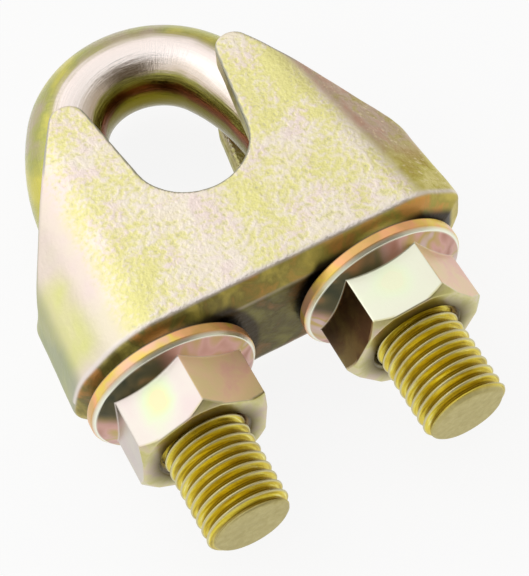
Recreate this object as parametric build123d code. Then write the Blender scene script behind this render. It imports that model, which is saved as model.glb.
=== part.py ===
from build123d import *
import math
import os

os.makedirs("parts", exist_ok=True)

# Sizes in millimetres. The origin is the centre of the rope seat, halfway through the saddle.
# +X is to the right, +Y runs along the legs towards the bow, +Z comes out of the front face.
# The clip lies on its back, so +Z is up.

# rod and thread
thread_d = 16.0
leg_spacing = 42.4
bolt_shift = -1.5
leg_end_y = -67.2
leg_chamfer_along = 1.0
leg_chamfer_in = 1.3

# bow of the rod: two wide side arcs and a tighter crown arc, all tangent
bow_start_y = 0.1
bow_crown_y = 31.2
bow_crown_r = 17.5

# rope seat and horns
rope_d = 22.0
seat_clearance = 0.2
horn_lean = 0.15
horn_tip_r = 3.7
shoulder_low_y = -16.81
shoulder_run = 0.595
arris = 0.5
lower_rim_r = 1.5

# saddle casting
saddle_w = 81.4
end_r = 11.5
end_r_growth = 0.05
saddle_t = 29.2
side_draft = 0.049
edge_y = -31.7
base_y = -34.2
bevel_in = 4.5
boss_h = 1.0
boss_r = 12.6
hole_play = 1.1
hole_side_play = 1.9
channel_floor_y = -5.2

# nuts
nut_af = 24.0
nut_h = 14.5
flange_r = 16.2
flange_t = 2.3
flange_slope = 0.54
rim_bevel = 0.45
nut_face_r = 11.4
nut_chamfer_slope = 0.7
thread_clearance = 0.05
countersink_r = 9.0
left_nut_turn = 23.6
right_nut_turn = 6.3

# derived
rod_r = thread_d / 2
leg_x = leg_spacing / 2
seat_r = rope_d / 2 + seat_clearance
seat_face_y = base_y - boss_h
nut_outer_y = seat_face_y - nut_h
hole_r = rod_r + hole_play
hole_end_x = hole_side_play - hole_play
bore_r = rod_r + thread_clearance
hex_r = nut_af / math.sqrt(3)


def horn_tip():
    """Sharp corner where the shoulder line and the horn's inner line meet, before it is rounded."""
    inner_x0 = seat_r * math.sqrt(1 + horn_lean**2)
    y = (saddle_w / 2 + shoulder_run * shoulder_low_y - inner_x0) / (shoulder_run + horn_lean)
    return inner_x0 + horn_lean * y, y


def plan(y, inset=0.0):
    """Plan section of the casting at one height: flat front and back, well rounded ends."""
    level = Plane(origin=(0, y, 0), x_dir=(1, 0, 0), z_dir=(0, 1, 0))
    rise = max(y - edge_y, 0)
    width = saddle_w - 2 * inset - 2 * side_draft * rise
    depth = saddle_t - 2 * inset
    corner_r = min(end_r + end_r_growth * rise - inset, 0.49 * depth)
    return level * RectangleRounded(width, depth, corner_r)


def front_outline():
    """Front view of the casting with its shoulders, horns and rope seat."""
    tip_x, tip_y = horn_tip()
    reach = saddle_w
    shoulder_end_y = shoulder_low_y - (reach - saddle_w / 2) / shoulder_run
    tangent_x = seat_r / math.sqrt(1 + horn_lean**2)
    tangent_y = -horn_lean * tangent_x
    low = min(base_y, shoulder_end_y) - 1
    right = [(reach, low), (reach, shoulder_end_y), (tip_x, tip_y), (tangent_x, tangent_y)]
    left = [(-x, y) for x, y in reversed(right)]
    outline = make_face(Polyline(*right, *left, close=True))
    tips = outline.vertices().sort_by(Axis.Y)[-2:]
    outline = fillet(tips, horn_tip_r)
    return outline - Circle(seat_r)


def along_y(shape, y):
    """Turns a solid built on the ground plane so that its axis runs along +Y from height y."""
    return Pos(0, y, 0) * Rot(-90, 0, 0) * shape


def make_saddle():
    tip_y = horn_tip()[1]
    body = loft([plan(edge_y), plan(tip_y)], ruled=True)
    body = body & extrude(front_outline(), saddle_t, both=True)
    rims = [e for e in body.edges() if e.center().Y > edge_y + 1]
    creases = [e for e in rims if e.geom_type == GeomType.LINE and abs(e.tangent_at(0).Y) > 0.99]
    body = chamfer([e for e in rims if e not in creases], arris)
    foot = loft([plan(base_y, inset=bevel_in), plan(edge_y)], ruled=True)
    body = body + foot
    lower_rim = [e for e in body.edges() if abs(e.center().Y - edge_y) < 0.01]
    body = fillet(lower_rim, lower_rim_r)
    slot = SlotCenterToCenter(2 * hole_end_x, 2 * hole_r)
    run = tip_y - seat_face_y + 2
    for side in (-1, 1):
        boss = along_y(Cylinder(boss_r, boss_h + bevel_in, align=(Align.CENTER, Align.CENTER, Align.MIN)), seat_face_y)
        body = body + Pos(side * leg_x, 0, 0) * boss
    for side in (-1, 1):
        hole = along_y(extrude(slot, run), seat_face_y - 1)
        body = body - Pos(side * leg_x, 0, 0) * hole
        wide = leg_x + hole_end_x
        channel = Box(wide, tip_y - channel_floor_y + 1, 2 * hole_r)
        body = body - Pos(side * wide / 2, (tip_y + channel_floor_y + 1) / 2, 0) * channel
    return body


def make_u_bolt():
    rise = bow_crown_y - bow_crown_r - bow_start_y
    side_r = (leg_x**2 + rise**2 - bow_crown_r**2) / (2 * (leg_x - bow_crown_r))
    meet = math.degrees(math.atan2(rise, side_r - leg_x))
    path = Wire([
        Line((-leg_x, leg_end_y), (-leg_x, bow_start_y)),
        CenterArc((side_r - leg_x, bow_start_y), side_r, 180, -meet),
        CenterArc((0, bow_crown_y - bow_crown_r), bow_crown_r, 180 - meet, 2 * meet - 180),
        CenterArc((leg_x - side_r, bow_start_y), side_r, meet, -meet),
        Line((leg_x, bow_start_y), (leg_x, leg_end_y)),
    ])
    section = Plane(origin=(-leg_x, leg_end_y, 0), z_dir=(0, 1, 0)) * Circle(rod_r)
    rod = sweep(section, path=path)
    cutter_r = rod_r + 2
    for side in (-1, 1):
        flat = (rod_r - leg_chamfer_in, leg_end_y)
        slope = leg_chamfer_along / leg_chamfer_in
        outer = (cutter_r, leg_end_y + slope * (cutter_r - flat[0]))
        ring = make_face(Polyline((flat[0], leg_end_y - 1), flat, outer, (cutter_r, leg_end_y - 1), close=True))
        rod = rod - Pos(side * leg_x, 0, 0) * revolve(ring, Axis.Y)
    return Pos(bolt_shift, 0, 0) * rod


def make_nut(side, turn):
    rim_y = seat_face_y - flange_t
    neck_r = hex_r * 0.7
    neck_y = rim_y - flange_slope * (flange_r - neck_r)
    flange = make_face(Polyline(
        (0, seat_face_y), (flange_r, seat_face_y), (flange_r, rim_y), (neck_r, neck_y), (0, neck_y), close=True))
    rims = [v for v in flange.vertices() if abs(v.X - flange_r) < 0.01]
    flange = chamfer(rims, rim_bevel)
    far_r = hex_r + 2
    shoulder = nut_outer_y + nut_chamfer_slope * (far_r - nut_face_r)
    envelope = make_face(Polyline(
        (0, nut_outer_y), (nut_face_r, nut_outer_y), (far_r, shoulder), (far_r, rim_y), (0, rim_y), close=True))
    prism = along_y(extrude(RegularPolygon(hex_r, 6), nut_h), nut_outer_y)
    head = prism & revolve(envelope, Axis.Y)
    below = revolve(make_face(Polyline(
        (0, rim_y + 1), (flange_r + 1, rim_y + 1), (flange_r + 1, rim_y + flange_slope), (neck_r, neck_y), (0, neck_y),
        close=True)), Axis.Y)
    nut = (head - below) + revolve(flange, Axis.Y)
    sink = countersink_r - bore_r
    bore = make_face(Polyline(
        (0, nut_outer_y - 1), (countersink_r, nut_outer_y - 1), (countersink_r, nut_outer_y), (bore_r, nut_outer_y + sink),
        (bore_r, seat_face_y - sink), (countersink_r, seat_face_y), (countersink_r, seat_face_y + 1),
        (0, seat_face_y + 1), close=True))
    nut = nut - revolve(bore, Axis.Y)
    return Pos(side * leg_x + bolt_shift, 0, 0) * Rot(0, -turn, 0) * nut


if __name__ == "__main__":
    u_bolt = make_u_bolt()
    saddle = make_saddle()
    left_nut = make_nut(-1, left_nut_turn)
    right_nut = make_nut(1, right_nut_turn)
    for name, shape in (("u_bolt", u_bolt), ("saddle", saddle), ("left_nut", left_nut), ("right_nut", right_nut)):
        solids = shape.solids()
        box = shape.bounding_box()
        print(name, len(solids), "valid", shape.is_valid, "volume", round(shape.volume, 1),
              [round(v, 2) for v in (*box.min, *box.max)])
        export_step(shape, f"parts/{name}.step")
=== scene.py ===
import math

import bmesh
import bpy
import numpy as np
from mathutils import Matrix, Vector, noise


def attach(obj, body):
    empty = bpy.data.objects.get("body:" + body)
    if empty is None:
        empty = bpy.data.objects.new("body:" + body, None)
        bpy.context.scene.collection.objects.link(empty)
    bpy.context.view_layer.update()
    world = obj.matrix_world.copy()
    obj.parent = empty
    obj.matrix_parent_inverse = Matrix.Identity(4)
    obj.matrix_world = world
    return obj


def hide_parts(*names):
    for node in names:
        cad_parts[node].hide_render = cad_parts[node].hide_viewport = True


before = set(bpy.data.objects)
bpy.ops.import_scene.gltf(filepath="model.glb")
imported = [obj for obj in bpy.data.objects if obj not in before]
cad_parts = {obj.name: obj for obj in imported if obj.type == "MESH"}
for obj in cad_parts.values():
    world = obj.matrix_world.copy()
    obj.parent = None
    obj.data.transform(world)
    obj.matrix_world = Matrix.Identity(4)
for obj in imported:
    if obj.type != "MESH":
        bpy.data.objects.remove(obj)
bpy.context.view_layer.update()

# Lengths are millimetres in the CAD's own frame; meshes are scaled to metres at the end.
MM = 0.001

# rod and thread
ROD_R = 8.0
LEG_X = 21.2
SHIFT = -1.5
LEG_END = -67.2
LEG_CUT = LEG_END + 0.12
LEAD_IN = 1.35
LEAD_SLOPE = 1.3
LEAD_MIN_R = 5.0
PITCH = 2.0
THREAD_TOP = -22.0
THREAD_FADE = 3.5
BOW_FOOT = THREAD_TOP + 2
BRIDGE = 0.8
BOW_START = 0.1
CROWN_Y = 31.2
CROWN_R = 17.5
COLUMNS = 96
# one pitch of the rolled thread, as (distance along the leg, radius), crest first
THREAD_PROFILE = [(-0.17, 7.92), (-0.08, 8.0), (0.08, 8.0), (0.17, 7.92), (0.46, 7.43), (0.8, 6.88),
                  (0.9, 6.8), (1.0, 6.77), (1.1, 6.8), (1.2, 6.88), (1.54, 7.43)]

# saddle; a facet is (x of its crease at EDGE_Y, lean, angle)
HALF_W = 40.7
HALF_T = 14.6
FACET_RIGHT = (30.9, 0.15, math.radians(34))
FACET_LEFT = (27.4, 0.02, math.radians(39))
MOULD_SHIFT = 1.6
MOULD_TRIM = 0.92
DRAFT = 0.049
EDGE_Y = -31.7
BASE_Y = -34.2
FACE_Y = -35.2
BEVEL_RUN = 1.8
BEVEL_SCALE = 2.06
BOSS_R = 12.6
BOSS_TOP = -30.0
HOLE_R = 9.1
HOLE_SIDE = 0.8
CHANNEL_Y = -5.2
SEAT_R = 11.2
LEAN = 0.15
SHOULDER_LOW = -16.81
SHOULDER_RUN = 0.595
TIP_R = 3.7
VOXEL = 0.44

# radii of the saddle's soft edges
SOFT_PLAN = 1.5
SOFT_RIGHT = 1.8
SOFT_LEFT = 3.5
SOFT_BEVEL = 0.9
SOFT_BASE = 0.5
SOFT_ARRIS = 0.6
SOFT_BOSS = 0.4
SOFT_HOLE = 0.5
SOFT_CHANNEL = 0.8

# unevenness of the cast surface, as (size, height) of its bumps, and how far they are set in
SWELL = (7.0, 0.10)
RIPPLE = (2.2, 0.03)
SET_IN = 0.06

# nuts
NUT_OUT = -49.7
APOTHEM = 12.0
CORNER_R = 0.45
FLANGE_R = 16.19
FLANGE_SLOPE = 0.54
RIM_Y = FACE_Y - 2.3
LIP = 0.6
CHAMFER_R = 12.3
CHAMFER_SLOPE = 0.9
SINK_R = 9.0
BORE_R = 8.05
# radii of the arcs along the nut's half section
NUT_ARCS = (0.15, 0.5, 0.2, 0.15, 0.3, 0.3, 0.4, 0.15)


# mesh helpers

def add_to_scene(name, data):
    obj = bpy.data.objects.new(name, data)
    bpy.context.scene.collection.objects.link(obj)
    return obj


def read_verts(mesh):
    co = np.empty(len(mesh.vertices) * 3, np.float64)
    mesh.vertices.foreach_get("co", co)
    return co.reshape(-1, 3)


def write_verts(mesh, co):
    mesh.vertices.foreach_set("co", np.ascontiguousarray(co, np.float32).ravel())
    mesh.update()


def shade_smooth(mesh):
    mesh.polygons.foreach_set("use_smooth", [True] * len(mesh.polygons))
    mesh.update()


def add_values(mesh, **values):
    """Stores one number for each point under each name, for the materials to read."""
    for name, numbers in values.items():
        attribute = mesh.attributes.new(name, "FLOAT", "POINT")
        attribute.data.foreach_set("value", np.asarray(numbers, np.float32))


def smoothstep(lo, hi, v):
    t = np.clip((v - lo) / (hi - lo), 0, 1)
    return t * t * (3 - 2 * t)


def uneven(co, bumps, seed):
    """Smooth noise at each point, with bumps of about one size and height."""
    size, height = bumps
    off = Vector((seed * 17.3, seed * 5.1, seed * 9.7))
    return height * np.array([noise.fractal(Vector(p) / size + off, 1.0, 2.0, 2) for p in co])


# U-bolt

def threaded_leg(centre_x, phase):
    """A leg with a helical thread, from past its end to past the bow's foot. Rows follow the helix."""
    per = len(THREAD_PROFILE)
    turns = int((THREAD_TOP + 6 - LEG_END) / PITCH) + 2
    rows = [(LEG_END + (turn + phase) * PITCH + along, radius)
            for turn in range(-2, turns) for along, radius in THREAD_PROFILE]
    theta = np.linspace(0, 2 * np.pi, COLUMNS, endpoint=False)
    verts = []
    for y0, radius in rows:
        y = y0 + PITCH * theta / (2 * np.pi)
        cut = radius + (ROD_R - radius) * smoothstep(THREAD_TOP - THREAD_FADE, THREAD_TOP, y)
        lead = (ROD_R - LEAD_IN) + (y - LEG_END) * LEAD_SLOPE
        cut = np.minimum(cut, np.maximum(lead, LEAD_MIN_R))
        verts += list(zip(centre_x + cut * np.cos(theta), y, -cut * np.sin(theta)))
    faces = []
    for j in range(len(rows) - 1):
        low, high = j * COLUMNS, (j + 1) * COLUMNS
        last, pitch_on = COLUMNS - 1, per * COLUMNS
        faces += [(low + i, high + i, high + i + 1, low + i + 1) for i in range(last)]
        # the last column meets the first one a pitch further on
        if j + per + 1 < len(rows):
            faces.append((low + last, high + last, high + pitch_on, low + pitch_on))
    return verts, faces


def cap_end(leg, centre_x):
    """Closes the cut end with a slightly rounded face."""
    rim = {v for e in leg.edges if e.is_boundary for v in e.verts if abs(v.co.y - LEG_CUT) < 1e-3}
    rim = sorted(rim, key=lambda v: math.atan2(v.co.z, v.co.x - centre_x))
    outer = rim
    for scale, drop in ((0.985, 0.06), (0.965, 0.1), (0.93, 0.12), (0.6, 0.12), (0.3, 0.12)):
        inner = [leg.verts.new((centre_x + (v.co.x - centre_x) * scale, LEG_CUT - drop, v.co.z * scale))
                 for v in rim]
        for k in range(len(rim)):
            n = (k + 1) % len(rim)
            leg.faces.new((outer[k], outer[n], inner[n], inner[k]))
        outer = inner
    middle = leg.verts.new((centre_x, LEG_END, 0))
    for k in range(len(rim)):
        leg.faces.new((outer[k], outer[(k + 1) % len(rim)], middle))


def finished_leg(side, phase):
    """A threaded leg cut to length, closed at its end and open towards the bow."""
    centre_x = side * LEG_X + SHIFT
    verts, faces = threaded_leg(centre_x, phase)
    leg = bmesh.new()
    made = [leg.verts.new(v) for v in verts]
    for f in faces:
        leg.faces.new([made[i] for i in f])
    bmesh.ops.remove_doubles(leg, verts=leg.verts, dist=1e-5)
    for height, way in ((LEG_CUT, -1), (BOW_FOOT - BRIDGE, 1)):
        geom = leg.verts[:] + leg.edges[:] + leg.faces[:]
        bmesh.ops.bisect_plane(leg, geom=geom, plane_co=(0, height, 0), plane_no=(0, way, 0),
                               clear_outer=True)
    cap_end(leg, centre_x)
    mesh = bpy.data.meshes.new("leg")
    leg.to_mesh(mesh)
    leg.free()
    return mesh


def path_points():
    """Centre line of the rod above the thread, as (x, y, direction), from the left leg over the bow."""
    rise = CROWN_Y - CROWN_R - BOW_START
    side_r = (LEG_X**2 + rise**2 - CROWN_R**2) / (2 * (LEG_X - CROWN_R))
    meet = math.atan2(rise, side_r - LEG_X)
    left = [(-LEG_X, y, 0.0, 1.0) for y in np.linspace(BOW_FOOT, BOW_START, 12)]
    left += [(side_r - LEG_X - side_r * math.cos(a), BOW_START + side_r * math.sin(a),
              math.sin(a), math.cos(a)) for a in np.linspace(0, meet, 10)[1:]]
    crown = [(CROWN_R * math.cos(a), CROWN_Y - CROWN_R + CROWN_R * math.sin(a),
              math.sin(a), -math.cos(a)) for a in np.linspace(math.pi - meet, meet, 56)[1:-1]]
    right = [(-x, y, tx, -ty) for x, y, tx, ty in reversed(left)]
    return left + crown + right


def plain_bow():
    """The rod above the thread: rings around its centre line."""
    points = path_points()
    phi = np.linspace(0, 2 * np.pi, COLUMNS, endpoint=False)
    verts = []
    for x, y, tx, ty in points:
        out = ROD_R * np.cos(phi)
        verts += list(zip(x + SHIFT - ty * out, y + tx * out, ROD_R * np.sin(phi)))
    faces = []
    for j in range(len(points) - 1):
        for i in range(COLUMNS):
            k = (i + 1) % COLUMNS
            faces.append((j * COLUMNS + i, j * COLUMNS + k, (j + 1) * COLUMNS + k, (j + 1) * COLUMNS + i))
    mesh = bpy.data.meshes.new("bow")
    mesh.from_pydata([tuple(map(float, v)) for v in verts], [], faces)
    return mesh


def paint_rod(mesh, co):
    """Places each point along the rod from the crown, and around it from outside (0) to inside (1)."""
    x = co[:, 0] - SHIFT
    y = co[:, 1]
    threaded = 1 - smoothstep(THREAD_TOP - 2, THREAD_TOP, y)
    radius = np.hypot(np.abs(x) - LEG_X, co[:, 2])
    crown_y = CROWN_Y - CROWN_R
    from_crown = np.hypot(x, y - crown_y)
    in_crown = smoothstep(BOW_START, crown_y + 4, y)
    outward = (np.abs(x) - LEG_X) * (1 - in_crown) + (from_crown - CROWN_R) * in_crown
    around = np.arctan2(co[:, 2], outward) / math.pi
    around = np.interp(np.where(around < 0, around + 2, around), [0, 1, 1.25, 2], [0, 1, 1.1, 0])
    bend = np.arcsin(np.clip((y - crown_y) / np.maximum(from_crown, 1e-6), 0, 1))
    along = np.where(y > crown_y, CROWN_R * (math.pi / 2 - bend), CROWN_R * math.pi / 2 + crown_y - y)
    add_values(mesh, thread=threaded, around=around, along=along * np.sign(x),
               depth=np.clip((ROD_R - radius) / 1.2, 0, 1) * threaded,
               end=1 - smoothstep(LEG_END + 0.4, LEG_END + 0.9, y))


def build_u_bolt():
    bm = bmesh.new()
    for part in (finished_leg(-1, 0.15), finished_leg(1, 0.55), plain_bow()):
        bm.from_mesh(part)
        bpy.data.meshes.remove(part)
    for side in (-1, 1):
        loops = [e for e in bm.edges if e.is_boundary and e.verts[0].co.x * side > 0
                 and abs(e.verts[0].co.y - BOW_FOOT + BRIDGE / 2) < BRIDGE / 2 + 0.05]
        bmesh.ops.bridge_loops(bm, edges=loops)
    bmesh.ops.recalc_face_normals(bm, faces=bm.faces)
    mesh = bpy.data.meshes.new("threaded_u_bolt")
    bm.to_mesh(mesh)
    bm.free()
    co = read_verts(mesh)
    paint_rod(mesh, co)
    write_verts(mesh, co * MM)
    shade_smooth(mesh)
    return add_to_scene("threaded_u_bolt", mesh)


# saddle

def both(a, b, r):
    """Intersection of two fields with a rounded edge."""
    return np.minimum(-r, np.maximum(a, b)) + np.hypot(np.maximum(a + r, 0), np.maximum(b + r, 0))


def mould_slip(p):
    """x measured from the middle of each mould half: the back half sits a little to the left."""
    return p[:, 0] + MOULD_SHIFT * smoothstep(3.0, -5.0, p[:, 2])


def rope_gap(x, y):
    """Distance into the wall from the seat's arc and the horns' inner lines, below zero in the wall."""
    lean = math.hypot(1, LEAN)
    return np.where(y + x * LEAN > 0, (SEAT_R * lean + LEAN * y - x) / lean, SEAT_R - np.hypot(x, y))


def shoulder_gap(x, y):
    """Distance out of the casting from the straight line of its shoulder."""
    return (x - HALF_W + SHOULDER_RUN * (y - SHOULDER_LOW)) / math.hypot(1, SHOULDER_RUN)


def end_facet(p, shape):
    """The flat band that cuts a corner of the casting, below zero in the metal."""
    at_base, lean, angle = shape
    crease = at_base - lean * np.maximum(p[:, 1] - EDGE_Y, 0)
    return (np.abs(mould_slip(p)) - crease) * math.sin(angle) + (np.abs(p[:, 2]) - HALF_T) * math.cos(angle)


def horn_tip(x, y):
    """Whether a point faces a horn's round tip, and how far outside the tip it lies."""
    run, lean = math.hypot(1, SHOULDER_RUN), math.hypot(1, LEAN)
    sides = np.array([[1 / run, SHOULDER_RUN / run], [-1 / lean, LEAN / lean]])
    reach = np.array([(HALF_W + SHOULDER_RUN * SHOULDER_LOW) / run, -SEAT_R]) - TIP_R
    tip = np.linalg.solve(sides, reach)
    v = np.stack([x - tip[0], y - tip[1]])
    share = np.linalg.solve(sides.T, v)
    return (share[0] > 0) & (share[1] > 0), np.hypot(v[0], v[1]) - TIP_R


def saddle_field(p):
    """Below zero inside the casting, zero on its surface."""
    y, z = p[:, 1], p[:, 2]
    hole_x = np.abs(p[:, 0])
    x = np.abs(mould_slip(p))
    half = HALF_W - MOULD_SHIFT * MOULD_TRIM - DRAFT * np.maximum(y - EDGE_Y, 0)
    plan = both(x - half, np.abs(z) - HALF_T, SOFT_PLAN)
    facet = np.where(p[:, 0] > 0, end_facet(p, FACET_RIGHT), end_facet(p, FACET_LEFT))
    plan = both(plan, facet, np.where(p[:, 0] > 0, SOFT_RIGHT, SOFT_LEFT))
    bevel = (plan + BEVEL_RUN * (EDGE_Y - y)) / BEVEL_SCALE
    body = both(plan, bevel, SOFT_BEVEL)
    body = both(body, BASE_Y - y, SOFT_BASE)
    at_tip, tip = horn_tip(x, y)
    outline = np.where(at_tip, tip, np.maximum(shoulder_gap(x, y), rope_gap(x, y)))
    body = both(body, outline, SOFT_ARRIS)
    boss = np.maximum(np.hypot(hole_x - LEG_X, z) - BOSS_R, y - BOSS_TOP)
    body = -both(-body, -both(boss, FACE_Y - y, SOFT_BOSS), SOFT_ARRIS)
    hole = np.hypot(np.maximum(np.abs(hole_x - LEG_X) - HOLE_SIDE, 0), z) - HOLE_R
    body = both(body, -hole, SOFT_HOLE)
    channel = np.hypot(np.maximum(hole_x - LEG_X - HOLE_SIDE, 0), z) - HOLE_R
    return both(body, -both(channel, CHANNEL_Y - y, SOFT_CHANNEL), SOFT_ARRIS)


def field_slope(p, step=0.01):
    out = np.empty_like(p)
    for k in range(3):
        d = np.zeros(3)
        d[k] = step
        out[:, k] = (saddle_field(p + d) - saddle_field(p - d)) / (2 * step)
    return out


def onto_surface(co, steps):
    for _ in range(steps):
        slope = field_slope(co)
        co = co - (saddle_field(co) / np.maximum((slope**2).sum(1), 0.2))[:, None] * slope
    return co


def relaxed(co, edges):
    """Moves each point towards the middle of its neighbours, which evens out the faces."""
    total, count = np.zeros_like(co), np.zeros(len(co))
    for a, b in ((0, 1), (1, 0)):
        np.add.at(total, edges[:, a], co[edges[:, b]])
        np.add.at(count, edges[:, a], 1)
    return co + 0.6 * (total / np.maximum(count, 1)[:, None] - co)


def remeshed(node, name):
    """An even mesh of a CAD node in millimetres, fine enough to carry soft edges."""
    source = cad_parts[node].data.copy()
    write_verts(source, read_verts(source) / MM)
    obj = add_to_scene(name, source)
    remesh = obj.modifiers.new("remesh", "REMESH")
    remesh.mode = "VOXEL"
    remesh.voxel_size = VOXEL
    obj.data = bpy.data.meshes.new_from_object(obj.evaluated_get(bpy.context.evaluated_depsgraph_get()))
    obj.data.name = name
    obj.modifiers.clear()
    return obj


def paint_saddle(mesh, co, normal):
    """Zones of the casting: its faces, bands, bevel, base, walls, edges and the tinted patches, with painted
    shade on the base, walls, edges and crevice, a painted highlight on the lip and painted reflection on the
    bevel and right band.
    """
    x, y, z = co.T
    flat = smoothstep(0.90, 0.985, np.abs(normal[:, 2]))
    low = smoothstep(EDGE_Y + 0.5, EDGE_Y - 0.1, y)
    # the flat underside, which is painted dark as painted shade
    base = smoothstep(0.93, 0.99, -normal[:, 1]) * low
    from_leg = np.abs(x) - LEG_X
    slip = np.abs(mould_slip(co))
    gap = rope_gap(slip, y)
    outline = np.maximum(gap, shoulder_gap(slip, y))
    tunnel = np.hypot(np.maximum(np.abs(from_leg) - HOLE_SIDE, 0), z)
    inside = smoothstep(9.9, 9.4, np.where(from_leg < 0, np.abs(z), tunnel)) * smoothstep(-7, -5.5, y)
    # the inner walls of the rope seat, the channel and the holes, painted dark olive as painted shade
    wall = np.maximum(smoothstep(0.6, 0.2, np.abs(gap)), inside) * (1 - flat)
    yellow = smoothstep(12.5, 9.0, z) * smoothstep(-9, -15, y) * smoothstep(-32, -26, y)
    # the right end's band, painted darker rose and gold, partly the coating's tones and partly painted
    # reflection
    right_band = smoothstep(0.8, 0.3, np.abs(end_facet(co, FACET_RIGHT))) * (x > 0)
    near_face = smoothstep(HALF_T - 1.2, HALF_T - 0.8, np.abs(z))
    add_values(mesh, front=flat, base=base, bevel=low * (1 - base),
               # near-black painted shade where the base meets the nuts' flanges
               crevice=(smoothstep(BASE_Y + 1.3, BASE_Y + 0.5, y)
                        * smoothstep(17.8, 16.5, np.hypot(from_leg, z))),
               wall=np.clip(wall, 0, 1),
               # the left end's side, painted grey-green as painted shade
               side=smoothstep(0.72, 0.95, np.abs(normal[:, 0])) * (x < 0),
               right_band=np.maximum(right_band, smoothstep(30, 33, x)) * (1 - flat) * (1 - low),
               yellow=yellow * (x < 0) * (1 - flat),
               golden=np.exp(-((x - 18)**2 + (y - 4)**2) / 9.0**2),
               across=(x + 40) / 80,
               # a painted highlight along the front face's bottom edge
               lip=smoothstep(EDGE_Y + 1.5, EDGE_Y + 0.6, y) * (1 - low) * (z > 0),
               height=(y - EDGE_Y) / 50,
               # painted shade along the rounded edges beside the flat faces
               arris=near_face * (1 - flat) * smoothstep(1.0, 0.5, np.abs(outline)))


def build_saddle():
    obj = remeshed("saddle", "cast_saddle")
    mesh = obj.data
    edges = np.empty(len(mesh.edges) * 2, np.int64)
    mesh.edges.foreach_get("vertices", edges)
    co = onto_surface(read_verts(mesh), 4)
    for _ in range(4):
        co = onto_surface(relaxed(co, edges.reshape(-1, 2)), 2)
    slope = field_slope(co)
    normal = slope / np.maximum(np.linalg.norm(slope, axis=1), 1e-6)[:, None]
    # the cast surface is slightly uneven, but not where the nuts seat or in the holes
    seat = smoothstep(FACE_Y + 0.3, FACE_Y + 1.5, co[:, 1])
    outer = seat * smoothstep(-0.2, 0.4, np.hypot(np.abs(co[:, 0]) - LEG_X, co[:, 2]) - HOLE_R - 0.3)
    wave = uneven(co, SWELL, 1.0) + uneven(co, RIPPLE, 2.0)
    co = co + normal * ((wave - SET_IN) * outer)[:, None]
    write_verts(mesh, co * MM)
    paint_saddle(mesh, co, normal)
    shade_smooth(mesh)
    return obj


# nuts

def rounded(points, radii, steps):
    """A line of (radius, height) points with an arc at each inner point."""
    out = [points[0]]
    for (a, b, c), r in zip(zip(points, points[1:], points[2:]), radii):
        a, b, c = np.array(a), np.array(b), np.array(c)
        u, w = a - b, c - b
        lu, lw = np.linalg.norm(u), np.linalg.norm(w)
        u, w = u / lu, w / lw
        half = math.acos(max(-1.0, min(1.0, float(u @ w)))) / 2
        reach = min(r / math.tan(half), 0.45 * lu, 0.45 * lw)
        r = reach * math.tan(half)
        centre = b + (u + w) / np.linalg.norm(u + w) * r / math.sin(half)
        s, e = b + u * reach - centre, b + w * reach - centre
        turn = math.pi - 2 * half
        for k in range(steps + 1):
            t = k / steps
            v = (math.sin((1 - t) * turn) * s + math.sin(t * turn) * e) / math.sin(turn)
            out.append(tuple(centre + v))
    out.append(points[-1])
    return out


def corner_half_angle():
    """How far a rounded corner of the hexagon reaches to each side of its middle."""
    return math.pi / 6 - math.atan((APOTHEM - CORNER_R) * math.tan(math.pi / 6) / APOTHEM)


def hex_radius(delta):
    """Distance to the rounded hexagon's side, at an angle from the nearest corner."""
    centre = (APOTHEM - CORNER_R) / math.cos(math.pi / 6)
    if abs(delta) < corner_half_angle():
        return centre * math.cos(delta) + math.sqrt(CORNER_R**2 - (centre * math.sin(delta))**2)
    return APOTHEM / math.cos(math.pi / 6 - abs(delta))


def divided(line, r):
    """Adds points on the flat side and the flange's cone, so that painted values have somewhere to sit."""
    out = []
    for p, q in zip(line, line[1:]):
        out.append(p)
        on_flat = abs(p[0] - r) < 0.01 and abs(q[0] - r) < 0.01
        on_cone = p[0] > q[0] + 0.3 and p[1] > q[1] + 0.1 and q[0] > r - 0.1
        if (on_flat or on_cone) and math.dist(p, q) > 0.9:
            out += [(p[0] + (q[0] - p[0]) * t, p[1] + (q[1] - p[1]) * t)
                    for t in (0.04, 0.1, 0.3, 0.5, 0.7, 0.9, 0.96)]
    return out + [line[-1]]


def nut_section(r):
    """Half section of the nut, as (radius, height) points, where the hexagon's side lies at a radius."""
    cut_r = min(r - 0.25, CHAMFER_R)
    sink = SINK_R - BORE_R
    line = [(BORE_R, FACE_Y - sink), (SINK_R, FACE_Y), (FLANGE_R, FACE_Y), (FLANGE_R, RIM_Y + 0.35),
            (FLANGE_R - LIP, RIM_Y - FLANGE_SLOPE * LIP), (r, RIM_Y - FLANGE_SLOPE * (FLANGE_R - r)),
            (r, NUT_OUT + CHAMFER_SLOPE * (r - cut_r)), (cut_r, NUT_OUT), (SINK_R, NUT_OUT),
            (BORE_R, NUT_OUT + sink)]
    return divided(rounded(line, NUT_ARCS, 4), r)


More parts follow.
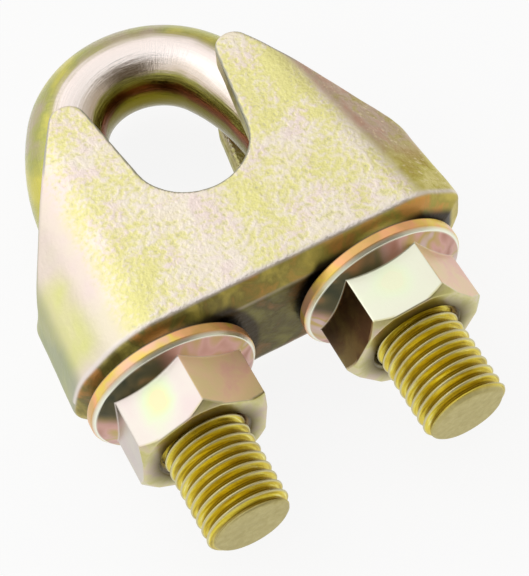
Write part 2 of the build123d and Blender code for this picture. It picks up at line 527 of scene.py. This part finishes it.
def paint_nut(mesh, y, radius, around, turn, brown):
    """Zones of a nut. Its angles are in degrees; the last argument is how dark its left flats are painted, as
    painted reflection.
    """
    sides = np.abs((around + 30) % 60 - 30)
    flat_r = np.minimum(APOTHEM / np.cos(np.radians(30 - sides)), FLANGE_R)
    on_side = smoothstep(FLANGE_R - 0.25, FLANGE_R - 0.1, radius)
    # the rim's rounded edge, painted pale as a painted highlight
    rim = smoothstep(FLANGE_R - 0.8, FLANGE_R - 0.65, radius) * (1 - on_side)
    rim = rim * smoothstep(RIM_Y + 0.8, RIM_Y + 0.5, y)
    on_cone = smoothstep(flat_r + 0.02, flat_r + 0.25, radius) * smoothstep(FACE_Y - 1.5, FACE_Y - 1.9, y)
    mouth = smoothstep(0.35, 0.05, y - NUT_OUT - CHAMFER_SLOPE * np.maximum(radius - CHAMFER_R, 0))
    on_flat = (1 - np.maximum(on_cone, on_side)) * (1 - rim) * (1 - mouth)
    face_right = np.cos(np.radians(np.floor(around / 60) * 60 + 30 + turn))
    angle = np.radians(around + turn)
    facing_right, facing_up = np.cos(angle), np.sin(angle)
    front = np.radians(turn + 90)
    middle = np.array([APOTHEM * np.cos(front), NUT_OUT + 6.5, APOTHEM * np.sin(front)])
    turned = np.stack([radius * facing_right, y, radius * facing_up], 1)
    add_values(mesh, rim=rim, flange=on_side, cone=on_cone * (1 - rim) * (1 - on_side), mouth=mouth,
               # around the bore, painted near black as painted shade
               bore=smoothstep(11.7, 9.4, radius),
               # right-facing flats, painted tan as painted reflection
               right=smoothstep(0.35, 0.55, face_right) * on_flat,
               # left-facing flats, painted dark brown as painted reflection
               left=smoothstep(-0.5, -0.7, face_right) * brown * on_flat,
               green=np.exp(-((turned - middle)**2).sum(1) / 2.9**2),
               fresh=np.full(len(y), max(brown - 0.3, 0)),
               # the cone's front-left part, painted near black as painted reflection
               dark=smoothstep(0.1, -0.2, facing_right) * smoothstep(0.1, 0.4, facing_up),
               # near-black painted shade where the flange meets the saddle
               crevice=smoothstep(FACE_Y - 0.5, FACE_Y - 0.15, y))


def build_nut(name, side, turn, brown):
    """A flanged hex nut with rounded corners; the turn is in degrees about its leg."""
    flat_end = corner_half_angle()
    half = [flat_end * k / 4 for k in range(5)]
    half += [flat_end + (math.pi / 6 - flat_end) * k / 12 for k in range(1, 12)]
    deltas = [-d for d in reversed(half)][:-1] + half + [math.pi / 6]
    sections = [(corner * math.pi / 3 + delta, nut_section(hex_radius(delta)))
                for corner in range(6) for delta in deltas]
    local = np.array([(r * math.cos(angle), y, r * math.sin(angle))
                      for angle, line in sections for r, y in line])
    n, per = len(sections), len(sections[0][1])
    faces = []
    for i in range(n):
        j = (i + 1) % n
        for k in range(per):
            m = (k + 1) % per
            faces.append((i * per + k, i * per + m, j * per + m, j * per + k))
    a = math.radians(turn)
    x = local[:, 0] * math.cos(a) - local[:, 2] * math.sin(a) + side * LEG_X + SHIFT
    z = local[:, 0] * math.sin(a) + local[:, 2] * math.cos(a)
    mesh = bpy.data.meshes.new(name)
    mesh.from_pydata((np.stack([x, local[:, 1], z], 1) * MM).tolist(), [], faces)
    bm = bmesh.new()
    bm.from_mesh(mesh)
    bmesh.ops.recalc_face_normals(bm, faces=bm.faces)
    bm.to_mesh(mesh)
    bm.free()
    around = np.degrees(np.arctan2(local[:, 2], local[:, 0]))
    paint_nut(mesh, local[:, 1], np.hypot(local[:, 0], local[:, 2]), around, turn, brown)
    shade_smooth(mesh)
    return add_to_scene(name, mesh)


# shader helpers; values are node outputs, numbers or colours

def nodes_of(name):
    mat = bpy.data.materials.new(name)
    mat.use_nodes = True
    tree = mat.node_tree
    return mat, tree, tree.nodes["Principled BSDF"].inputs


def feed(tree, value, socket):
    if isinstance(value, tuple):
        socket.default_value = (*value, 1)
    elif isinstance(value, (int, float)):
        socket.default_value = value
    else:
        tree.links.new(value, socket)


def object_coords(tree):
    return tree.nodes.new("ShaderNodeTexCoord").outputs["Object"]


def attribute(tree, name):
    a = tree.nodes.new("ShaderNodeAttribute")
    a.attribute_name = name
    return a.outputs["Fac"]


def maths(tree, operation, a, b=0.0):
    m = tree.nodes.new("ShaderNodeMath")
    m.operation = operation
    feed(tree, a, m.inputs[0])
    feed(tree, b, m.inputs[1])
    return m.outputs[0]


def blend(tree, a, b, factor):
    m = tree.nodes.new("ShaderNodeMix")
    m.data_type = "RGBA"
    feed(tree, a, m.inputs[6])
    feed(tree, b, m.inputs[7])
    feed(tree, factor, m.inputs[0])
    return m.outputs[2]


def ranged(tree, value, lo, hi, out_lo=0.0, out_hi=1.0):
    r = tree.nodes.new("ShaderNodeMapRange")
    r.interpolation_type = "SMOOTHSTEP"
    for key, number in (("From Min", lo), ("From Max", hi), ("To Min", out_lo), ("To Max", out_hi)):
        r.inputs[key].default_value = number
    feed(tree, value, r.inputs["Value"])
    return r.outputs["Result"]


def noise_node(tree, where, scale, detail=2.0, rough=0.5, distortion=0.0):
    n = tree.nodes.new("ShaderNodeTexNoise")
    for key, number in (("Scale", scale), ("Detail", detail), ("Roughness", rough),
                        ("Distortion", distortion)):
        n.inputs[key].default_value = number
    feed(tree, where, n.inputs["Vector"])
    return n.outputs["Fac"]


def ramp(tree, value, stops):
    r = tree.nodes.new("ShaderNodeValToRGB")
    e = r.color_ramp.elements
    while len(e) < len(stops):
        e.new(0.5)
    for k, (pos, colour) in enumerate(stops):
        e[k].position = pos
        e[k].color = (*colour, 1)
    feed(tree, value, r.inputs["Fac"])
    return r.outputs["Color"]


def cloudy(tree, where, scale, stops, detail=2.0, distortion=0.5):
    """Soft patches of the colours in the stops."""
    return ramp(tree, noise_node(tree, where, scale, detail, 0.55, distortion), stops)


def bump(tree, height, strength, distance, before=None):
    b = tree.nodes.new("ShaderNodeBump")
    feed(tree, height, b.inputs["Height"])
    feed(tree, strength, b.inputs["Strength"])
    feed(tree, distance, b.inputs["Distance"])
    if before is not None:
        feed(tree, before, b.inputs["Normal"])
    return b.outputs["Normal"]


def layered(tree, colour, layers):
    """Lays each colour over those before it, where its attribute says and as strongly as its share."""
    for top, name, share in layers:
        factor = attribute(tree, name)
        if share < 1:
            factor = maths(tree, "MULTIPLY", factor, share)
        colour = blend(tree, colour, top, factor)
    return colour


def rod_noise(tree, along, around, scale, detail, rough):
    """Noise stretched along or around the rod, by how fast it changes each way."""
    axis = tree.nodes.new("ShaderNodeCombineXYZ")
    feed(tree, maths(tree, "MULTIPLY", attribute(tree, "along"), along), axis.inputs[0])
    feed(tree, maths(tree, "MULTIPLY", attribute(tree, "around"), around), axis.inputs[1])
    return noise_node(tree, axis.outputs[0], scale, detail, rough)


# materials

def rod_zinc():
    """Bent rod: colour bands run along the bow, partly the coating's tones and partly painted highlight,
    shade and reflection; threads are golden with pale crests as painted highlight.
    """
    mat, tree, shader = nodes_of("rod_yellow_zinc")
    where = object_coords(tree)
    streak = rod_noise(tree, 0.05, 26.0, 1.6, 5, 0.65)
    patches = noise_node(tree, where, 90, 2, 0.5, 0.6)
    wander = maths(tree, "ADD", maths(tree, "MULTIPLY", patches, 0.10), maths(tree, "MULTIPLY", streak, 0.10))
    shifted = maths(tree, "ADD", attribute(tree, "around"), maths(tree, "SUBTRACT", wander, 0.10))
    # the pale pink band is a painted highlight, and the red-brown and dark olive towards the inside are
    # painted shade and reflection, over the coating's olive and mauve tones
    bands = ramp(tree, shifted, [
        (0.40, (0.44, 0.38, 0.20)), (0.49, (0.96, 0.84, 0.78)), (0.62, (1.0, 0.91, 0.86)),
        (0.73, (0.72, 0.60, 0.48)), (0.77, (0.40, 0.38, 0.11)), (0.82, (0.38, 0.34, 0.07)),
        (0.85, (0.34, 0.11, 0.04)), (0.90, (0.17, 0.06, 0.02)), (0.94, (0.16, 0.13, 0.006)),
        (1.0, (0.17, 0.14, 0.006))])
    outer = cloudy(tree, where, 70, [
        (0.38, (0.52, 0.42, 0.32)), (0.5, (0.44, 0.44, 0.13)), (0.62, (0.66, 0.60, 0.13))], 5.0, 0.3)
    plain = blend(tree, outer, bands, ranged(tree, shifted, 0.36, 0.46))
    rolled = rod_noise(tree, 2.6, 3.0, 1.3, 4, 0.5)
    flank = ramp(tree, rolled, [
        (0.34, (0.46, 0.34, 0.03)), (0.48, (0.74, 0.58, 0.05)), (0.58, (0.82, 0.70, 0.09)),
        (0.68, (0.98, 0.90, 0.36))])
    depth = attribute(tree, "depth")
    # pale crests are a painted highlight and the dark roots painted shade in the grooves
    thread = blend(tree, (0.66, 0.60, 0.34), flank, ranged(tree, depth, 0.03, 0.30))
    thread = blend(tree, thread, (0.30, 0.20, 0.012), ranged(tree, depth, 0.7, 1.0))
    sawn = cloudy(tree, where, 700, [(0.3, (0.52, 0.45, 0.19)), (0.7, (0.62, 0.55, 0.26))], 3.0)
    feed(tree, layered(tree, plain, [(thread, "thread", 1), (sawn, "end", 1)]), shader["Base Color"])
    rough = ranged(tree, attribute(tree, "thread"), 0, 1, 0.13, 0.34)
    rough = maths(tree, "ADD", rough, ranged(tree, attribute(tree, "end"), 0, 1, 0, 0.15))
    rough = maths(tree, "ADD", rough, maths(tree, "MULTIPLY", streak, 0.10))
    feed(tree, rough, shader["Roughness"])
    lines = bump(tree, streak, 0.5, 0.0002)
    lines = bump(tree, rolled, 0.3, 0.00012, lines)
    grain = noise_node(tree, where, 1500, 3, 0.6)
    feed(tree, bump(tree, grain, 0.35, 0.0001, lines), shader["Normal"])
    shader["Metallic"].default_value = 1.0
    return mat


def nut_zinc():
    """Bright flats, a tan right side and dark brown left flats as painted reflection, an orange and gold
    flange with a painted highlight on its rim, a cone in painted reflection, and an olive mouth painted near
    black around the bore as painted shade.
    """
    mat, tree, shader = nodes_of("nut_yellow_zinc")
    where = object_coords(tree)
    drift = noise_node(tree, where, 130, 3, 0.5, 0.3)
    spot = maths(tree, "ADD", attribute(tree, "green"), maths(tree, "MULTIPLY", drift, 0.7))
    flats = ramp(tree, spot, [
        (0.22, (0.79, 0.67, 0.64)), (0.42, (0.80, 0.74, 0.66)), (0.68, (0.76, 0.83, 0.58)),
        (0.98, (0.80, 0.83, 0.48)), (1.0, (0.84, 0.79, 0.48))])
    # tan painted reflection for the right-facing flats
    tan = cloudy(tree, where, 110, [
        (0.40, (0.99, 0.60, 0.46)), (0.48, (1.0, 0.70, 0.44)), (0.62, (0.94, 0.74, 0.38))], 6.0, 0.2)
    # dark brown painted reflection for the left-facing flats
    brown = cloudy(tree, where, 160, [(0.42, (0.12, 0.06, 0.02)), (0.6, (0.22, 0.17, 0.05))], 3.0)
    # the cone's pink-brown is painted reflection
    cone = cloudy(tree, where, 110, [
        (0.36, (0.42, 0.20, 0.14)), (0.48, (0.62, 0.36, 0.30)), (0.56, (0.50, 0.36, 0.12)),
        (0.64, (0.60, 0.44, 0.40))])
    shade = cloudy(tree, where, 130, [
        (0.4, (0.05, 0.055, 0.035)), (0.55, (0.12, 0.10, 0.05)), (0.66, (0.30, 0.16, 0.07))])
    flange = cloudy(tree, where, 90, [
        (0.36, (0.74, 0.44, 0.14)), (0.46, (0.98, 0.48, 0.22)), (0.54, (0.94, 0.70, 0.12)),
        (0.64, (0.96, 0.58, 0.38))], 3.0, 0.1)
    face = cloudy(tree, where, 260, [
        (0.36, (0.66, 0.54, 0.42)), (0.5, (0.66, 0.60, 0.32)), (0.62, (0.58, 0.54, 0.22))], 5.0)
    # near black over each cone's front-left part is painted reflection
    cone = blend(tree, cone, shade, attribute(tree, "dark"))
    # near black around the bore is painted shade
    mouth = blend(tree, face, (0.11, 0.08, 0.012), attribute(tree, "bore"))
    colour = layered(tree, flats, [
        ((0.95, 1.0, 0.76), "fresh", 1), (tan, "right", 1), (brown, "left", 1), (cone, "cone", 1),
        # the pale rim is a painted highlight
        (flange, "flange", 1), ((0.92, 0.94, 0.78), "rim", 1), (mouth, "mouth", 1),
        # near-black painted shade where the flange meets the saddle
        ((0.03, 0.025, 0.015), "crevice", 1)])
    feed(tree, colour, shader["Base Color"])
    feed(tree, bump(tree, noise_node(tree, where, 1300, 3, 0.6), 0.25, 0.0001), shader["Normal"])
    flange_share = maths(tree, "MULTIPLY", attribute(tree, "flange"), 0.6)
    dull = maths(tree, "MULTIPLY", maths(tree, "MAXIMUM", attribute(tree, "right"), flange_share), 0.75)
    feed(tree, maths(tree, "SUBTRACT", 1.0, dull), shader["Metallic"])
    shader["Roughness"].default_value = 0.3
    return mat


def cast_zinc():
    """Cast surface: fine grain on the flat faces, colour zones in the coating's tones, and painted shade,
    highlight and reflection on the zones that stand in for light.
    """
    mat, tree, shader = nodes_of("cast_yellow_zinc")
    where = object_coords(tree)
    cream = cloudy(tree, where, 130, [
        (0.38, (0.94, 0.80, 0.74)), (0.5, (0.95, 0.86, 0.73)), (0.62, (0.94, 0.84, 0.67))], 5.0)
    relief = noise_node(tree, where, 1050, 3, 0.5, 0.0)
    valley = maths(tree, "SUBTRACT", 1.0, relief)
    mottle = maths(tree, "MULTIPLY", noise_node(tree, where, 75, 3, 0.6, 0.6), 1.3)
    mottle = maths(tree, "ADD", mottle, valley)
    mottle = maths(tree, "ADD", mottle, maths(tree, "MULTIPLY", attribute(tree, "golden"), 0.36))
    front = blend(tree, cream, (0.87, 0.82, 0.31), ranged(tree, mottle, 0.98, 1.40, 0, 0.9))
    # grey in the grain's hollows is painted shade; the yellow-green in them is the coating's tone
    front = blend(tree, front, (0.62, 0.57, 0.44), ranged(tree, valley, 0.58, 0.78, 0, 0.6))
    sides = cloudy(tree, where, 45, [
        (0.40, (0.84, 0.71, 0.65)), (0.5, (0.84, 0.75, 0.61)), (0.60, (0.83, 0.76, 0.56))], 3.0, 0.0)
    tint = ranged(tree, noise_node(tree, where, 90, 3, 0.5), 0.25, 0.6, 0.55, 1)
    sides = blend(tree, sides, (0.76, 0.77, 0.27), maths(tree, "MULTIPLY", attribute(tree, "yellow"), tint))
    rose = cloudy(tree, where, 200, [
        (0.36, (0.62, 0.40, 0.30)), (0.5, (0.60, 0.46, 0.34)), (0.64, (0.52, 0.44, 0.14))], 5.0)
    gold = cloudy(tree, where, 200, [
        (0.38, (0.52, 0.42, 0.09)), (0.5, (0.62, 0.55, 0.13)), (0.62, (0.75, 0.67, 0.25))], 5.0)
    # rose at the top and gold below, the coating's tones darkened as painted reflection
    right = blend(tree, gold, rose, ranged(tree, attribute(tree, "height"), 0.14, 0.36))
    # pale specks on the right band are painted glints
    sparkle = ranged(tree, noise_node(tree, where, 900, 2, 0.5), 0.58, 0.72, 0, 0.5)
    right = blend(tree, right, (0.92, 0.80, 0.52), sparkle)
    # grey-green painted shade for the left end's side
    edge = cloudy(tree, where, 120, [(0.4, (0.36, 0.39, 0.26)), (0.6, (0.44, 0.45, 0.25))], 3.0)
    # dark olive-brown painted shade for the underside
    base = cloudy(tree, where, 120, [
        (0.36, (0.24, 0.13, 0.05)), (0.48, (0.11, 0.09, 0.03)), (0.62, (0.19, 0.17, 0.05))], 5.0)
    # the bevel's orange, gold and olive are painted reflection, darker towards the left end
    bevel = cloudy(tree, where, 110, [
        (0.38, (0.95, 0.48, 0.11)), (0.48, (0.62, 0.52, 0.09)), (0.6, (0.88, 0.74, 0.16))], 5.0)
    dim = cloudy(tree, where, 140, [
        (0.38, (0.62, 0.28, 0.06)), (0.5, (0.24, 0.20, 0.04)), (0.62, (0.56, 0.46, 0.09))], 5.0)
    bevel = blend(tree, dim, bevel, ranged(tree, attribute(tree, "across"), 0.3, 1.0))
    # dark olive painted shade for the inner walls
    wall = cloudy(tree, where, 500, [(0.4, (0.30, 0.26, 0.05)), (0.6, (0.46, 0.42, 0.12))], 4.0)
    colour = layered(tree, sides, [
        (front, "front", 1), (right, "right_band", 1), (edge, "side", 0.85), (wall, "wall", 1),
        # painted shade along the rounded edges, a painted highlight along the front's bottom edge, and the
        # bevel's painted reflection
        ((0.40, 0.40, 0.34), "arris", 0.8), ((0.90, 0.82, 0.78), "lip", 0.8), (bevel, "bevel", 1),
        # painted shade on the underside and near-black painted shade in the crevice
        (base, "base", 1), ((0.05, 0.035, 0.015), "crevice", 1)])
    feed(tree, colour, shader["Base Color"])
    fine = noise_node(tree, where, 2000, 2, 0.6)
    height = maths(tree, "ADD", relief, maths(tree, "MULTIPLY", fine, 0.3))
    rugged = maths(tree, "MAXIMUM", attribute(tree, "front"), attribute(tree, "right_band"))
    feed(tree, bump(tree, height, ranged(tree, rugged, 0, 1, 0.3, 0.9), 0.00026), shader["Normal"])
    dull = maths(tree, "MULTIPLY", attribute(tree, "bevel"), 0.85)
    feed(tree, maths(tree, "SUBTRACT", 1.0, dull), shader["Metallic"])
    shader["Roughness"].default_value = 0.42
    return mat


def floor_white():
    """Pale floor that takes the clip's shadow and reads as white to the camera and in reflections."""
    mat, tree, shader = nodes_of("floor_white")
    shader["Base Color"].default_value = (0.95, 0.95, 0.95, 1)
    shader["Roughness"].default_value = 0.8
    rays = tree.nodes.new("ShaderNodeLightPath").outputs
    seen = maths(tree, "MAXIMUM", rays["Is Camera Ray"], rays["Is Glossy Ray"])
    seen = maths(tree, "MAXIMUM", seen, rays["Is Transmission Ray"])
    join = tree.nodes.new("ShaderNodeMixShader")
    feed(tree, maths(tree, "MULTIPLY", seen, 0.88), join.inputs[0])
    feed(tree, tree.nodes["Principled BSDF"].outputs[0], join.inputs[1])
    feed(tree, tree.nodes.new("ShaderNodeEmission").outputs[0], join.inputs[2])
    feed(tree, join.outputs[0], tree.nodes["Material Output"].inputs["Surface"])
    return mat


# stage

def add_camera():
    """The camera that was fitted to points of the photo."""
    data = bpy.data.cameras.new("camera")
    data.lens = 101.49
    data.sensor_width = 36
    data.clip_start = 0.01
    right = Vector((0.88296, -0.46539, -0.06158))
    up = Vector((0.43003, 0.74923, 0.50371))
    back = Vector((-0.18828, -0.47123, 0.86168))
    pose = Matrix((right, up, back)).transposed().to_4x4()
    pose.translation = Vector((-0.05509, -0.16675, 0.25583))
    camera = add_to_scene("camera", data)
    camera.matrix_world = pose
    bpy.context.scene.camera = camera


def add_floor():
    """The clip lies on the rims of the nuts' flanges and on the backs of the horns."""
    mesh = bpy.data.meshes.new("floor")
    mesh.from_pydata([(-2, -2, 0), (2, -2, 0), (2, 2, 0), (-2, 2, 0)], [], [(0, 1, 2, 3)])
    mesh.materials.append(floor_white())
    rim_z, rim_y = 16.2, -36.3
    horn_z, horn_y = 14.6, 18.0
    clearance = 0.05
    under_rim = Matrix.Translation((0, rim_y * MM, -(rim_z + clearance) * MM))
    tilt = math.atan2(rim_z - horn_z, horn_y - rim_y)
    floor = add_to_scene("floor", mesh)
    floor.matrix_world = under_rim @ Matrix.Rotation(tilt, 4, "X")
    return floor


def add_room():
    """Bright from above and the left, with a dark patch for the metal to mirror."""
    world = bpy.data.worlds.new("studio")
    bpy.context.scene.world = world
    world.use_nodes = True
    tree = world.node_tree
    view = tree.nodes.new("ShaderNodeTexCoord").outputs["Generated"]

    def towards(direction):
        dot = tree.nodes.new("ShaderNodeVectorMath")
        dot.operation = "DOT_PRODUCT"
        dot.inputs[1].default_value = Vector(direction).normalized()
        tree.links.new(view, dot.inputs[0])
        return dot.outputs["Value"]

    def near(direction, middle, wide, narrow):
        off = maths(tree, "ABSOLUTE", maths(tree, "SUBTRACT", towards(direction), middle))
        return ranged(tree, off, wide, narrow)

    bright = ranged(tree, towards((-0.5, 0.3, 0.8)), 0.1, 0.65)
    room = blend(tree, (0.6, 0.57, 0.52), (1.0, 1.0, 1.0), bright)
    dark = maths(tree, "MULTIPLY", near((1, 0, 0), 0.1, 0.55, 0.40), near((0, 0.75, 0.66), 0.03, 0.48, 0.36))
    background = tree.nodes["Background"].inputs
    feed(tree, blend(tree, room, (0.12, 0.10, 0.07), dark), background["Color"])
    background["Strength"].default_value = 0.95


def add_lamp():
    data = bpy.data.lights.new("key", "AREA")
    data.shape = "DISK"
    data.size = 0.7
    data.energy = 0.42
    place = Vector((-0.3, 0.35, 0.45))
    lamp = add_to_scene("key", data)
    lamp.matrix_world = Matrix.Translation(place) @ place.to_track_quat("Z", "Y").to_matrix().to_4x4()


def dress(obj, mat, body, node):
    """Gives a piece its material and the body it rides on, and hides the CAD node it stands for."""
    obj.data.materials.clear()
    obj.data.materials.append(mat)
    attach(obj, body)
    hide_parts(node)


add_camera()
dress(build_u_bolt(), rod_zinc(), "u_bolt", "u_bolt")
dress(build_saddle(), cast_zinc(), "saddle", "saddle")
nut_mat = nut_zinc()
left_nut = build_nut("hex_nut_left", side=-1, turn=23.6, brown=0.3)
right_nut = build_nut("hex_nut_right", side=1, turn=6.3, brown=0.95)
dress(left_nut, nut_mat, "left_nut", "left_nut")
dress(right_nut, nut_mat, "right_nut", "right_nut")
floor = add_floor()
add_room()
add_lamp()
bpy.context.scene.view_settings.view_transform = "Standard"
